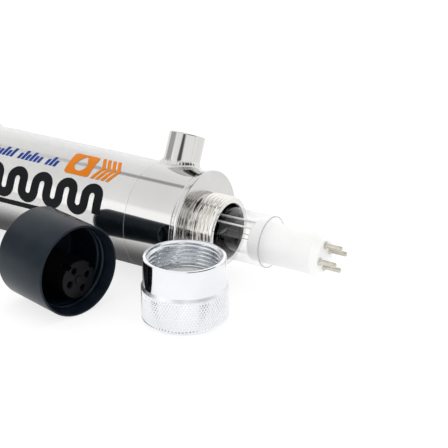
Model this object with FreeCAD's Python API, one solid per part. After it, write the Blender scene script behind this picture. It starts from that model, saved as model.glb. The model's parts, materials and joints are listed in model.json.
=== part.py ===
import FreeCAD, Part
import math
import os

# Two-inch stainless ultraviolet clarifier, opened for a lamp change.
# +X runs along the chamber towards its open service end, +Z is up, and the
# chamber lies on its mounting straps and end flanges at z = 0.  The origin is
# the centre of the four strap screw holes.  All sizes are in millimetres.

# ---- driving dimensions: chamber ------------------------------------------
chamber_od = 50.8
chamber_wall = 1.2
chamber_length = 270.0        # over the two end flanges
front_face_x = 183.0          # outer face of the front flange
flange_od = 52.6
flange_thickness = 2.0
axis_height = flange_od / 2
weld_width = 2.2

# ---- driving dimensions: threaded necks (M33 x 2) --------------------------
thread_major = 33.0
thread_pitch = 2.0
thread_depth = 1.23
neck_length = 12.6
neck_bore = 26.9
neck_relief = 1.0
neck_land = 1.6
neck_land_od = 32.0

# ---- driving dimensions: side ports (G1/4 female) ---------------------------
port_od = 17.3
port_bore = 11.445
port_reach = 40.2             # chamber axis to the port's mouth
port_inset = 20.8             # port axis to the flange face
port_lean = 24.8              # degrees back from vertical
port_weld_reach = 3.0

# ---- driving dimensions: straps and label ----------------------------------
strap_spacing = 76.0
strap_width = 16.0
strap_thickness = 1.2
liner_width = 18.0
liner_thickness = 1.0
ear_hole_spacing = 74.0
ear_reach = 45.0
ear_hole_d = 5.2
strap_bend_radius = 2.5
label_thickness = 0.1
label_front_inset = 28.7      # flange face to the label's front edge
label_length = 94.5
label_gap = 60.0              # degrees of bare tube left at the back
label_gap_middle = 0.0        # degrees from +Y, turning up over the top
label_weld_gap = 0.4          # film edge to the port's weld

# ---- driving dimensions: quartz sleeve and lamp ------------------------------
sleeve_od = 24.0
sleeve_id = 21.0
sleeve_end = 35.3             # sleeve's open end beyond the flange face
sleeve_home = 24.5            # the same when the sleeve is pushed home
lamp_length = 287.0
lamp_drop = 0.5               # lamp axis below the sleeve axis
lamp_od = 15.0
lamp_glass = 0.8
base_od = 19.0
base_length = 35.0
base_nose_od = 15.0
base_nose = 3.2
base_face = 62.5              # base's outer face beyond the flange face
pin_long = 7.92
pin_short = 6.35
pin_d = 2.2
pin_length = 8.2
pin_turn = 48.0               # degrees from +Y to the long side of the pins
ferrule_d = 3.4
ferrule_height = 0.6
end_cap_od = 16.6
end_cap_length = 12.0
electrode_reach = 30.0        # from the glass end to the coil
return_wire_turns = (83.0, 121.0)   # degrees from +Y, turning up over the top

# ---- driving dimensions: gland nuts ------------------------------------------
nut_length = 30.3
nut_od = 36.9
knurl_od = 38.8
smooth_length = 12.9
nut_crest = 31.0              # loose nut's thread crests
seat_depth = 16.9             # mouth to the sealing shoulder
shoulder_thickness = 3.0
shoulder_bore = 24.8
outer_cavity = 29.0
o_ring_section = 3.4
ring_thickness = 1.5
nut_gap = 0.9                 # tightened nut's mouth to the flange

# ---- driving dimensions: rubber lamp cap --------------------------------------
cap_od = 42.2
cap_length = 33.9
cap_bore = 37.8
cap_rear_wall = 3.6
cap_rear_bevel = 2.5
cap_lead_in = 4.5
cap_mouth_bore = 40.4
rib_height = 0.8
rib_width = 1.6
rib_depths = (7.0, 10.6)
cable_hole = 6.4
bush_od = 10.0
socket_od = 18.0
socket_length = 21.0
socket_depth = 6.8            # cap mouth to the socket's face
socket_lean = -58.0           # degrees round the bore to where the socket rests
socket_turn = -26.0           # degrees to the long side of its contacts
contact_hole = 2.9

# ---- where the two loose pieces stand -------------------------------------------
nut_place = (front_face_x + 15.0, -40.8)
cap_place = (front_face_x - 26.3, -62.7)
cap_heading = -15.0           # degrees about +Z from +X to the cap's mouth

rear_face_x = front_face_x - chamber_length
running_gap = 0.05
X_AXIS = FreeCAD.Vector(1, 0, 0)
Y_AXIS = FreeCAD.Vector(0, 1, 0)
Z_AXIS = FreeCAD.Vector(0, 0, 1)


# ---- helpers ---------------------------------------------------------------------
def lathe(profile):
    """Solid of revolution about local Z from (radius, height) corners."""
    corners = [FreeCAD.Vector(r, 0, z) for r, z in profile]
    wire = Part.makePolygon(corners + corners[:1])
    return Part.Face(wire).revolve(FreeCAD.Vector(), Z_AXIS, 360)


def tube(outer_r, inner_r, z0, z1):
    return lathe([(inner_r, z0), (outer_r, z0), (outer_r, z1), (inner_r, z1)])


def rod(r, z0, z1, x=0.0, y=0.0):
    return Part.makeCylinder(r, z1 - z0, FreeCAD.Vector(x, y, z0))


def frame(origin, x_dir, y_dir, z_dir):
    matrix = FreeCAD.Matrix(
        x_dir.x, y_dir.x, z_dir.x, origin.x,
        x_dir.y, y_dir.y, z_dir.y, origin.y,
        x_dir.z, y_dir.z, z_dir.z, origin.z,
        0, 0, 0, 1)
    return FreeCAD.Placement(matrix)


def placed(shape, where):
    moved = shape.copy()
    moved.Placement = where.multiply(moved.Placement)
    return moved


def front(x, drop=0.0):
    """Local Z runs out of the service end, local X along row +Y."""
    return frame(FreeCAD.Vector(x, 0, axis_height - drop), Y_AXIS, Z_AXIS, X_AXIS)


def rear(x):
    """Local Z runs out of the rear end."""
    return frame(FreeCAD.Vector(x, 0, axis_height), Y_AXIS * -1, Z_AXIS, X_AXIS * -1)


def group(solids):
    return solids[0] if len(solids) == 1 else Part.makeCompound(solids)


def save(name, shape):
    for solid in shape.Solids:
        if not solid.isValid() or solid.Volume <= 0:
            raise ValueError("bad solid in " + name)
    shape.exportStep(os.path.join("parts", name + ".step"))


def polar(radius, degrees):
    angle = math.radians(degrees)
    return radius * math.cos(angle), radius * math.sin(angle)


def pin_grid(turn):
    """Centres of the four pins, the long side turned from local X."""
    centres = []
    for long_side in (-1, 1):
        for short_side in (-1, 1):
            ax, ay = polar(long_side * pin_long / 2, turn)
            bx, by = polar(short_side * pin_short / 2, turn + 90)
            centres.append((ax + bx, ay + by))
    return centres


def ridges(crest_r, root_r, z0, z1):
    """Zigzag (radius, height) corners of a thread drawn as closed rings."""
    count = int(round((z1 - z0) / thread_pitch))
    pitch = (z1 - z0) / count
    flat = pitch / 8
    points = []
    for turn in range(count):
        low = z0 + turn * pitch
        points.append((root_r, low))
        points.append((crest_r, low + pitch / 2 - flat))
        points.append((crest_r, low + pitch / 2 + flat))
        points.append((root_r, low + pitch - flat))
    points.append((root_r, z1))
    return points


# ---- chamber -----------------------------------------------------------------------
def on_port_axis(shape, x):
    """Local Z runs out of a side port from the chamber axis."""
    y, z = polar(1.0, 90 - port_lean)
    out = FreeCAD.Vector(0, y, z)
    across = out.cross(X_AXIS)
    return placed(shape, frame(FreeCAD.Vector(x, 0, axis_height), X_AXIS, across, out))


def port_stations():
    return {"outlet": front_face_x - port_inset, "inlet": rear_face_x + port_inset}


def chamber_tube():
    inner = chamber_od / 2 - chamber_wall
    body = tube(chamber_od / 2, inner, 0, chamber_length - 2 * flange_thickness)
    body = placed(body, front(rear_face_x + flange_thickness))
    for x in port_stations().values():
        body = body.cut(on_port_axis(rod(port_bore / 2, 0, chamber_od), x))
    return body


def solid_chamber():
    return placed(rod(chamber_od / 2, 0, chamber_length), front(rear_face_x))


def side_port():
    """Plain round stub with a softened mouth."""
    r = port_od / 2
    edge = 0.5
    profile = [(port_bore / 2, chamber_od / 3), (r, chamber_od / 3), (r, port_reach - edge),
               (r - edge, port_reach), (port_bore / 2 + edge, port_reach),
               (port_bore / 2, port_reach - edge)]
    return lathe(profile)


def port_bead():
    """Weld bead round the foot of a port, hollowed like a fillet."""
    r = port_od / 2
    top = chamber_od / 2 + port_weld_reach
    foot = chamber_od / 2 - port_weld_reach
    steps = 5
    profile = [(r, foot)]
    profile.append((r + port_weld_reach, foot))
    for step in range(steps + 1):
        x, y = polar(port_weld_reach, 180 + 90 - 90 * step / steps)
        profile.append((r + port_weld_reach + x, top + y))
    return lathe(profile)


def end_flange():
    """Disc with softened rim; local Z = 0 is its outer face, it grows inwards."""
    r = flange_od / 2
    edge = 0.35
    return lathe([(neck_bore / 2, 0), (r - edge, 0), (r, -edge),
                  (r, -flange_thickness + edge), (r - edge, -flange_thickness),
                  (neck_bore / 2, -flange_thickness)])


def end_bead():
    """Dressed weld between the chamber tube and a flange's back face."""
    foot = -flange_thickness - weld_width
    return lathe([(chamber_od / 2, -flange_thickness), (flange_od / 2 - 0.45, -flange_thickness),
                  (chamber_od / 2 + 0.2, foot * 0.72), (chamber_od / 2, foot)])


def neck():
    """Threaded neck; local Z = 0 sits on the flange's outer face."""
    root_r = thread_major / 2 - thread_depth
    land_r = neck_land_od / 2
    land_z = neck_length - neck_land
    edge = 0.4
    profile = [(neck_bore / 2, 0), (root_r, 0)]
    profile += ridges(thread_major / 2, root_r, neck_relief, land_z)
    profile += [(land_r, land_z), (land_r, neck_length - edge), (land_r - edge, neck_length),
                (neck_bore / 2 + edge, neck_length), (neck_bore / 2, neck_length - edge)]
    return lathe(profile)


# ---- straps and label ---------------------------------------------------------------
def arch(inner_r, outer_r, width, x):
    """Half ring over the top of the chamber, down to the axis height."""
    ring = placed(tube(outer_r, inner_r, -width / 2, width / 2), front(x))
    lower = Part.makeBox(width * 2, outer_r * 4, axis_height * 2,
                         FreeCAD.Vector(x - width, -outer_r * 2, -axis_height))
    return ring.cut(lower)


def strap(x):
    """Saddle strap: arch, two straight legs and two flat drilled ears."""
    inner_r = chamber_od / 2 + liner_thickness
    outer_r = inner_r + strap_thickness
    half = strap_width / 2
    body = arch(inner_r, outer_r, strap_width, x)
    bend = strap_bend_radius
    for side in (-1, 1):
        def at(y, z):
            return FreeCAD.Vector(x - half, side * y, z)
        elbow_in = bend * (1 - math.sqrt(0.5))
        tight = bend - strap_thickness
        elbow_out = strap_thickness + tight * (1 - math.sqrt(0.5))
        edges = [
            Part.LineSegment(at(inner_r, axis_height), at(inner_r, bend)),
            Part.Arc(at(inner_r, bend), at(inner_r + elbow_in, elbow_in), at(inner_r + bend, 0)),
            Part.LineSegment(at(inner_r + bend, 0), at(ear_reach, 0)),
            Part.LineSegment(at(ear_reach, 0), at(ear_reach, strap_thickness)),
            Part.LineSegment(at(ear_reach, strap_thickness), at(inner_r + bend, strap_thickness)),
            Part.Arc(at(inner_r + bend, strap_thickness), at(inner_r + elbow_out, elbow_out),
                     at(outer_r, bend)),
            Part.LineSegment(at(outer_r, bend), at(outer_r, axis_height)),
            Part.LineSegment(at(outer_r, axis_height), at(inner_r, axis_height)),
        ]
        wire = Part.Wire([edge.toShape() for edge in edges])
        leg = Part.Face(wire).extrude(X_AXIS * strap_width)
        body = body.fuse(leg)
    for side in (-1, 1):
        body = body.cut(rod(ear_hole_d / 2, -1, strap_thickness + 1, x, side * ear_hole_spacing / 2))
    return body.removeSplitter()


def label_film():
    """Clear film wrapped round the chamber, notched round the outlet port's weld."""
    inner = chamber_od / 2
    ring = tube(inner + label_thickness, inner, 0, label_length)
    strip = Part.makeCylinder(chamber_od, label_length, FreeCAD.Vector(), Z_AXIS, label_gap)
    strip.rotate(FreeCAD.Vector(), Z_AXIS, -label_gap / 2 + label_gap_middle)
    film = placed(ring.cut(strip), front(front_face_x - label_front_inset - label_length))
    notch = rod(port_od / 2 + port_weld_reach + label_weld_gap, 0, chamber_od)
    return film.cut(on_port_axis(notch, port_stations()["outlet"]))


# ---- sleeve and lamp -------------------------------------------------------------------
def quartz_sleeve():
    length = chamber_length + 2 * sleeve_home
    r = sleeve_od / 2
    edge = 0.3
    bore = sleeve_id / 2
    return lathe([(bore, edge), (bore + edge, 0), (r - edge, 0), (r, edge),
                  (r, length - edge), (r - edge, length), (bore + edge, length),
                  (bore, length - edge)])


def lamp_base():
    """Ceramic base; local Z = 0 is the outer face, the body lies behind it."""
    collar = 1.0
    nose_r = base_nose_od / 2
    body = lathe([(0, -base_length), (base_od / 2 - collar, -base_length),
                  (base_od / 2, -base_length + collar), (base_od / 2, -base_nose),
                  (nose_r, 0), (0, 0)])
    socket = rod(lamp_od / 2, -base_length, -base_length + end_cap_length)
    return body.cut(socket)


def lamp_pins():
    solids = []
    for x, y in pin_grid(pin_turn):
        r = pin_d / 2
        tip = pin_length - r
        pin = rod(r, 0, tip, x, y)
        dome = Part.makeSphere(r, FreeCAD.Vector(x, y, tip))
        ferrule = rod(ferrule_d / 2, 0, ferrule_height, x, y)
        solids.append(pin.fuse([dome, ferrule]).removeSplitter())
    return group(solids)


def lamp_tube():
    """Glass envelope, sealed at both ends inside its base and end cap."""
    r = lamp_od / 2
    wall = lamp_glass
    start = -lamp_length + 1.0
    end = -base_length + end_cap_length
    outside = rod(r, start, end)
    return outside.cut(rod(r - wall, start + wall, end - wall))


def lamp_end_cap():
    r = end_cap_od / 2
    edge = 0.8
    body = lathe([(0, -lamp_length), (r - edge, -lamp_length), (r, -lamp_length + edge),
                  (r, -lamp_length + end_cap_length), (0, -lamp_length + end_cap_length)])
    return body.cut(rod(lamp_od / 2, -lamp_length + 1.0, -lamp_length + end_cap_length + 1))


def lamp_electrodes():
    """Two coiled electrodes, each held between two lead wires near an end."""
    lead_r = 0.25
    coil_r = 0.9
    half_span = 3.2
    solids = []
    ends = ((-base_length + end_cap_length - lamp_glass, -1), (-lamp_length + 1.0 + lamp_glass, 1))
    for root, way in ends:
        coil_z = root + way * electrode_reach
        coil_start = FreeCAD.Vector(-half_span, 0, coil_z)
        tip = coil_z + way * coil_r
        solids.append(Part.makeCylinder(coil_r, 2 * half_span, coil_start, X_AXIS))
        for side in (-1, 1):
            solids.append(rod(lead_r, min(root, tip), max(root, tip), side * (half_span + lead_r)))
    return group(solids)


def lamp_return_wires():
    """Two insulated wires outside the glass, from the base to the far electrode's end cap."""
    r = 0.45
    places = [polar(lamp_od / 2 + r, turn) for turn in return_wire_turns]
    return group([rod(r, -lamp_length + end_cap_length, -base_length, x, y) for x, y in places])


# ---- gland nuts --------------------------------------------------------------------------
def gland_nut(crest_r):
    """Knurled nut; local Z = 0 is the threaded mouth, +Z its outer end."""
    root_r = crest_r + thread_depth
    thread_end = seat_depth - o_ring_section - ring_thickness
    r = nut_od / 2
    knurl_r = knurl_od / 2
    cavity_r = outer_cavity / 2
    shoulder = seat_depth + shoulder_thickness
    edge = 0.5
    foot = 1.9
    profile = [(root_r, 0), (r - edge, 0), (r, edge), (r, smooth_length),
               (knurl_r, smooth_length + 1.2), (knurl_r, nut_length - foot),
               (knurl_r - foot, nut_length), (cavity_r + edge, nut_length),
               (cavity_r, nut_length - edge), (cavity_r, shoulder),
               (shoulder_bore / 2, shoulder), (shoulder_bore / 2, seat_depth),
               (crest_r, seat_depth), (crest_r, thread_end)]
    profile += reversed(ridges(crest_r, root_r, edge, thread_end))
    return lathe(profile)


def o_ring():
    """Seal; local Z = 0 is the face it lies on."""
    r = o_ring_section / 2
    middle = sleeve_od / 2 + running_gap + r
    return Part.makeTorus(middle, r, FreeCAD.Vector(0, 0, r))


def thrust_ring():
    return tube(nut_crest / 2 - 0.2, shoulder_bore / 2, 0, ring_thickness)


# ---- rubber caps ------------------------------------------------------------------------
def rubber_cap(bore, outer, hole, ribs):
    """Round rubber shell; local Z = 0 is its mouth, the body lies behind it."""
    bore_r = bore / 2
    outer_r = outer / 2
    mouth_r = bore_r + (cap_mouth_bore - cap_bore) / 2
    floor = -cap_length + cap_rear_wall
    rib_r = bore_r - rib_height
    cove = 1.5
    profile = [(mouth_r, 0), (outer_r - 0.4, 0), (outer_r, -0.4), (outer_r, -cap_length + cap_rear_bevel),
               (outer_r - cap_rear_bevel, -cap_length), (hole / 2, -cap_length), (hole / 2, floor),
               (bore_r - cove, floor), (bore_r, floor + cove)]
    for depth in sorted(ribs, reverse=True):
        profile += [(bore_r, -depth - rib_width / 2), (rib_r, -depth - rib_width / 8),
                    (rib_r, -depth + rib_width / 8), (bore_r, -depth + rib_width / 2)]
    profile.append((bore_r, -cap_lead_in))
    return lathe(profile)


def cable_bush():
    """Rubber bush lining the cap's cable hole, empty."""
    hole_r = cable_hole / 2
    inner = hole_r - 1.0
    back = -cap_length
    floor = back + cap_rear_wall
    return lathe([(inner, back - 1.2), (bush_od / 2 - 0.6, back - 1.2), (bush_od / 2, back - 0.6),
                  (bush_od / 2, back), (hole_r, back), (hole_r, floor), (bush_od / 2, floor),
                  (bush_od / 2, floor + 1.0), (inner, floor + 1.0)])


def socket_centre():
    rest_r = cap_bore / 2 - rib_height - socket_od / 2
    return polar(rest_r, socket_lean)


def lamp_socket():
    """Four-way socket lying loose against the ribs, with two key slots."""
    x, y = socket_centre()
    r = socket_od / 2
    back = -socket_depth - socket_length
    edge = 0.6
    body = lathe([(0, back), (r - edge, back), (r, back + edge), (r, -socket_depth - edge),
                  (r - edge, -socket_depth), (0, -socket_depth)])
    hub = rod(1.9, -socket_depth, -socket_depth + 0.5)
    body = body.fuse(hub)
    for cx, cy in pin_grid(socket_turn):
        body = body.cut(rod(contact_hole / 2, -socket_depth - 12, -socket_depth + 1, cx, cy))
    for turn in (socket_turn + 62, socket_turn + 180 - 28):
        slot = Part.makeBox(2.6, 2.4, 6.0, FreeCAD.Vector(r - 1.3, -1.2, -socket_depth - 5.0))
        slot.rotate(FreeCAD.Vector(), Z_AXIS, turn)
        body = body.cut(slot)
    body.translate(FreeCAD.Vector(x, y, 0))
    return body.removeSplitter()


def socket_contacts():
    x, y = socket_centre()
    solids = []
    for cx, cy in pin_grid(socket_turn):
        contact = tube(contact_hole / 2, contact_hole / 2 - 0.3, -socket_depth - 11.5, -socket_depth - 4.0)
        contact.translate(FreeCAD.Vector(cx + x, cy + y, 0))
        solids.append(contact)
    return group(solids)


# ---- assembly ---------------------------------------------------------------------------
def build_chamber():
    save("chamber_tube", chamber_tube())
    save("front_end_flange", placed(end_flange(), front(front_face_x)))
    save("rear_end_flange", placed(end_flange(), rear(rear_face_x)))
    save("front_threaded_neck", placed(neck(), front(front_face_x)))
    save("rear_threaded_neck", placed(neck(), rear(rear_face_x)))
    save("end_welds", group([placed(end_bead(), front(front_face_x)),
                             placed(end_bead(), rear(rear_face_x))]))
    core = solid_chamber()
    beads = []
    for name, x in port_stations().items():
        save(name + "_port", on_port_axis(side_port(), x).cut(core))
        beads.append(on_port_axis(port_bead(), x).cut(core))
    save("port_welds", group(beads))
    save("label_film", label_film())
    for name, side in (("front", 1), ("rear", -1)):
        x = side * strap_spacing / 2
        save(name + "_strap", strap(x))
        liner = arch(chamber_od / 2, chamber_od / 2 + liner_thickness, liner_width, x)
        save(name + "_strap_liner", liner)


def build_sleeve_and_lamp():
    sleeve_start = front_face_x + sleeve_end - chamber_length - 2 * sleeve_home
    save("quartz_sleeve", placed(quartz_sleeve(), front(sleeve_start)))
    on_lamp = front(front_face_x + base_face, lamp_drop)
    for maker in (lamp_base, lamp_pins, lamp_tube, lamp_end_cap, lamp_electrodes, lamp_return_wires):
        save(maker.__name__, placed(maker(), on_lamp))


def build_rear_end():
    neck_end = rear_face_x - neck_length
    save("rear_o_ring", placed(o_ring(), rear(neck_end)))
    mouth_x = rear_face_x - nut_gap
    clear_crest = thread_major / 2 + running_gap
    save("rear_gland_nut", placed(gland_nut(clear_crest), rear(mouth_x)))
    ring_x = mouth_x - seat_depth + ring_thickness + running_gap
    save("rear_thrust_ring", placed(thrust_ring(), rear(ring_x)))
    cap_bore_over_nut = knurl_od + 2 * running_gap
    cap_wall = cap_od - cap_bore
    cap_mouth_x = mouth_x - smooth_length - 1.4
    cap = rubber_cap(cap_bore_over_nut, cap_bore_over_nut + cap_wall, 0, ())
    save("rear_blank_cap", placed(cap, front(cap_mouth_x)))


def upright(x, y, z):
    return FreeCAD.Placement(FreeCAD.Vector(x, y, z), FreeCAD.Rotation())


def build_loose_nut():
    x, y = nut_place
    mouth_up = frame(FreeCAD.Vector(x, y, nut_length), X_AXIS, Y_AXIS * -1, Z_AXIS * -1)
    save("gland_nut", placed(gland_nut(nut_crest / 2), mouth_up))
    seat_z = nut_length - seat_depth
    save("thrust_ring", placed(thrust_ring(), upright(x, y, seat_z)))
    save("gland_o_ring", placed(o_ring(), upright(x, y, seat_z + ring_thickness)))


def build_loose_cap():
    x, y = cap_place
    ahead = FreeCAD.Vector(*polar(1.0, cap_heading), 0)
    across = FreeCAD.Vector(*polar(1.0, cap_heading + 90), 0)
    lying = frame(FreeCAD.Vector(x, y, cap_od / 2), across, Z_AXIS, ahead)
    save("lamp_cap", placed(rubber_cap(cap_bore, cap_od, cable_hole, rib_depths), lying))
    save("cable_bush", placed(cable_bush(), lying))
    save("lamp_socket", placed(lamp_socket(), lying))
    save("socket_contacts", placed(socket_contacts(), lying))


os.makedirs("parts", exist_ok=True)
build_chamber()
build_sleeve_and_lamp()
build_rear_end()
build_loose_nut()
build_loose_cap()
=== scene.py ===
import json
import math

import bmesh
import bpy
from mathutils import Matrix, Vector


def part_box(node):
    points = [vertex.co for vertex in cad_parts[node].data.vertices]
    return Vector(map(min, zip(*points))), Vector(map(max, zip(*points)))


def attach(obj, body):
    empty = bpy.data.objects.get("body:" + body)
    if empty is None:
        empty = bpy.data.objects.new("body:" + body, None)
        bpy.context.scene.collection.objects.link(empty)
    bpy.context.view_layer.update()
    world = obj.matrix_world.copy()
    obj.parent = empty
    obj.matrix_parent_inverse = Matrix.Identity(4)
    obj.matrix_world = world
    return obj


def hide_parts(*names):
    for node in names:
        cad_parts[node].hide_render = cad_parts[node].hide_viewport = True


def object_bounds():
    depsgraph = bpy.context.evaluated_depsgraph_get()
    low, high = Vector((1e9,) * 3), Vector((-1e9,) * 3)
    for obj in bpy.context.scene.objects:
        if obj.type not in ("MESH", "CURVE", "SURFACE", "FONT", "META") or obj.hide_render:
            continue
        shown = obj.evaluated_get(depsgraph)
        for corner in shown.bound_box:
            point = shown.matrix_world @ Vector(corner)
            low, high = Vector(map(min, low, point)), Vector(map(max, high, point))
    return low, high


# Looks of a two-inch stainless ultraviolet clarifier, opened for a lamp change.
# Outlines are (radius, height) in millimetres about a piece's own Z axis.
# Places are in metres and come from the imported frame.

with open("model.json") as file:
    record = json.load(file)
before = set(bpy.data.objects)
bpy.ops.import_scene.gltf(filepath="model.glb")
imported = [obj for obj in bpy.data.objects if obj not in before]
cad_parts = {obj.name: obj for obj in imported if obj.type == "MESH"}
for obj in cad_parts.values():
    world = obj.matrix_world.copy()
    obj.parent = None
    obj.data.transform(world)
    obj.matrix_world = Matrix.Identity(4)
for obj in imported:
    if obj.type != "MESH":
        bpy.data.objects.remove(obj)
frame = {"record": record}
cad_low, cad_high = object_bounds()

MM = 0.001
TURN = math.tau
X_AXIS, Y_AXIS, Z_AXIS = Vector((1, 0, 0)), Vector((0, 1, 0)), Vector((0, 0, 1))
mounts = {mount["name"]: mount for mount in frame["record"]["mounts"]}


# ---- sizes read from the frame ------------------------------------------------------
def extent(node):
    """Size of a node's box along X, Y and Z, in millimetres."""
    low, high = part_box(node)
    return (high - low) / MM


def middle(node):
    low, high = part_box(node)
    return (low + high) / 2


axis_z = middle("chamber_tube").z
chamber_r = extent("chamber_tube").y / 2
flange_r = extent("front_end_flange").y / 2
flange_thickness = extent("front_end_flange").x
front_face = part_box("front_end_flange")[1].x
rear_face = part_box("rear_end_flange")[0].x
neck_length = extent("front_threaded_neck").x
thread_r = extent("front_threaded_neck").y / 2
nut_length = extent("gland_nut").z
knurl_r = extent("gland_nut").x / 2
sleeve_r = extent("quartz_sleeve").y / 2
base_length = extent("lamp_base").x
base_r = extent("lamp_base").y / 2
cap_r = extent("lamp_cap").z / 2
blank_r = extent("rear_blank_cap").y / 2

# ---- sizes inside the pieces, in millimetres ------------------------------------------
chamber_wall = 1.2
neck_bore_r = 13.45
neck_relief = 1.0
neck_land = 1.6
neck_mouth = 1.8
neck_land_r = 16.0
thread_pitch = 2.0
thread_depth = 1.23
port_r = 8.65
port_crest_r = 5.7225
port_reach = 40.2
port_thread_pitch = 1.337
port_thread_depth = 0.86
port_thread_length = 14.0
port_weld = 3.0
nut_r = 18.45
nut_crest_r = 15.5
nut_seat = 16.9
nut_shoulder = 19.9
nut_shoulder_r = 12.4
nut_cavity_r = 14.5
nut_smooth = 12.9
nut_foot = 1.9
knurl_count = 84
knurl_rise = 2.4
knurl_depth = 0.42
sleeve_bore_r = 10.5
lamp_r = 7.5
lamp_wall = 0.8
return_wire_turns = (83.0, 121.0)
base_nose = 3.2
base_nose_r = 7.5
pin_long = 7.92
pin_short = 6.35
pin_r = 1.1
pin_length = 8.2
pin_turn = 48.0
cap_length = 33.9
cap_rear_wall = 3.6
cap_bush_stand = 1.2
cap_bush_lip = 1.0
cap_bore_r = 18.9
cap_mouth_r = 20.2
cap_lead_in = 4.5
cap_ribs = (7.0, 10.6)
cap_rib_height = 0.8
cap_rib_width = 1.6
cable_hole_r = 3.2
bush_r = 5.0
socket_r = 9.0
socket_depth = 6.8
socket_length = 21.0
socket_lean = -58.0
socket_turn = -26.0
contact_r = 1.45
strap_thickness = 1.2
strap_width = 16.0
strap_bend = 2.5
strap_ear_reach = 45.0
liner_thickness = 1.0
liner_width = 18.0
label_gap = 60.0


# ---- places -------------------------------------------------------------------------
def axes(origin, x_dir, y_dir, z_dir):
    place = Matrix((x_dir, y_dir, z_dir)).transposed().to_4x4()
    place.translation = origin
    return place


def front(x, drop=0.0):
    """Local Z runs out of the service end, local X along row +Y."""
    return axes(Vector((x, 0, axis_z - drop * MM)), Y_AXIS, Z_AXIS, X_AXIS)


def rear(x):
    """Local Z runs out of the rear end."""
    return axes(Vector((x, 0, axis_z)), -Y_AXIS, Z_AXIS, -X_AXIS)


def on_port(mount_name):
    """Local Z runs from the chamber axis out of a side port, local X along the chamber."""
    out = Vector(mounts[mount_name]["axis"]).normalized()
    station = mounts[mount_name]["pos_m"][0]
    return axes(Vector((station, 0, axis_z)), X_AXIS, out.cross(X_AXIS), out)


def on_loose_cap():
    """Local Z runs out of the lying cap's mouth."""
    inlet = mounts["cable_inlet"]
    ahead = -Vector(inlet["axis"]).normalized()
    bush_length = cap_bush_stand + cap_rear_wall + cap_bush_lip
    step = (cap_length + cap_bush_stand - bush_length / 2) * MM
    mouth = Vector(inlet["pos_m"]) + ahead * step
    return axes(mouth, Z_AXIS.cross(ahead), Z_AXIS, ahead)


def on_loose_nut():
    """Local Z runs down from the standing nut's threaded mouth."""
    low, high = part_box("gland_nut")
    centre = (low + high) / 2
    return axes(Vector((centre.x, centre.y, high.z)), X_AXIS, -Y_AXIS, -Z_AXIS)


def polar(radius, degrees):
    angle = math.radians(degrees)
    return radius * math.cos(angle), radius * math.sin(angle)


def pin_grid(turn):
    """Centres of the four lamp pins, the long side turned from local X."""
    centres = []
    for long_side in (-1, 1):
        for short_side in (-1, 1):
            ax, ay = polar(long_side * pin_long / 2, turn)
            bx, by = polar(short_side * pin_short / 2, turn + 90)
            centres.append((ax + bx, ay + by))
    return centres


# ---- outlines -----------------------------------------------------------------------
def rounded(corners, steps=5):
    """Closed outline; a corner's third number is its fillet radius."""
    points = []
    count = len(corners)
    for index, corner in enumerate(corners):
        here = Vector(corner[:2])
        fillet = corner[2] if len(corner) > 2 else 0
        if not fillet:
            points.append(tuple(here))
            continue
        back = Vector(corners[index - 1][:2]) - here
        ahead = Vector(corners[(index + 1) % count][:2]) - here
        half = back.angle(ahead) / 2
        reach = min(fillet / math.tan(half), back.length * 0.49, ahead.length * 0.49)
        back.normalize()
        ahead.normalize()
        centre = here + (back + ahead).normalized() * reach / math.cos(half)
        start = here + back * reach - centre
        end = here + ahead * reach - centre
        sweep = start.angle(end)
        for step in range(steps + 1):
            t = step / steps
            blend = start * math.sin((1 - t) * sweep) + end * math.sin(t * sweep)
            points.append(tuple(centre + blend / math.sin(sweep)))
    return points


def divided(outline, step, low, high, least_r=0.0, most_r=1e9):
    """Outline with short steps along its straight stretches between two heights."""
    points = []
    for here, there in zip(outline, outline[1:] + outline[:1]):
        points.append(here)
        inside = all(low - 0.01 <= p[1] <= high + 0.01 and least_r <= p[0] <= most_r for p in (here, there))
        length = math.dist(here, there)
        if inside and length > step:
            count = math.ceil(length / step)
            for part in range(1, count):
                t = part / count
                points.append((here[0] + (there[0] - here[0]) * t, here[1] + (there[1] - here[1]) * t))
    return points


def clamp(value, low=0.0, high=1.0):
    return max(low, min(high, value))


def thread_height(z, angle, pitch, start, end):
    """Height from 0 to 1 of a V thread with flat crests that fades at both ends."""
    phase = (z / pitch - angle / TURN) % 1
    rise = abs(2 * phase - 1)
    height = clamp((rise - 0.14) / 0.7)
    fade = clamp(min(z - start, end - z) / (pitch * 0.4))
    return height * fade


def knurl_height(z, angle, start, end):
    """Height from 0 to 1 of a diamond knurl that fades at both ends."""
    around = angle / TURN * knurl_count
    along = (z - start) / knurl_rise
    ridges = [1 - abs(2 * ((around + side * along) % 1) - 1) for side in (-1, 1)]
    fade = clamp(min(z - start, end - z) / 0.5)
    return 1 - fade * (1 - clamp(min(ridges) * 1.35))


# ---- meshes -------------------------------------------------------------------------
def link(name, mesh, place=Matrix.Identity(4)):
    """Puts a mesh in the scene; a tilted place is written into its points, so that its box stays exact."""
    piece = bpy.data.objects.new(name, mesh)
    bpy.context.collection.objects.link(piece)
    if any(0.001 < abs(value) < 0.999 for row in place.to_3x3() for value in row):
        mesh.transform(place)
    else:
        piece.matrix_world = place
    return piece


def soften(mesh, sharp=32.0):
    mesh.polygons.foreach_set("use_smooth", [True] * len(mesh.polygons))
    mesh.set_sharp_from_angle(angle=math.radians(sharp))
    mesh.update()


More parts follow.
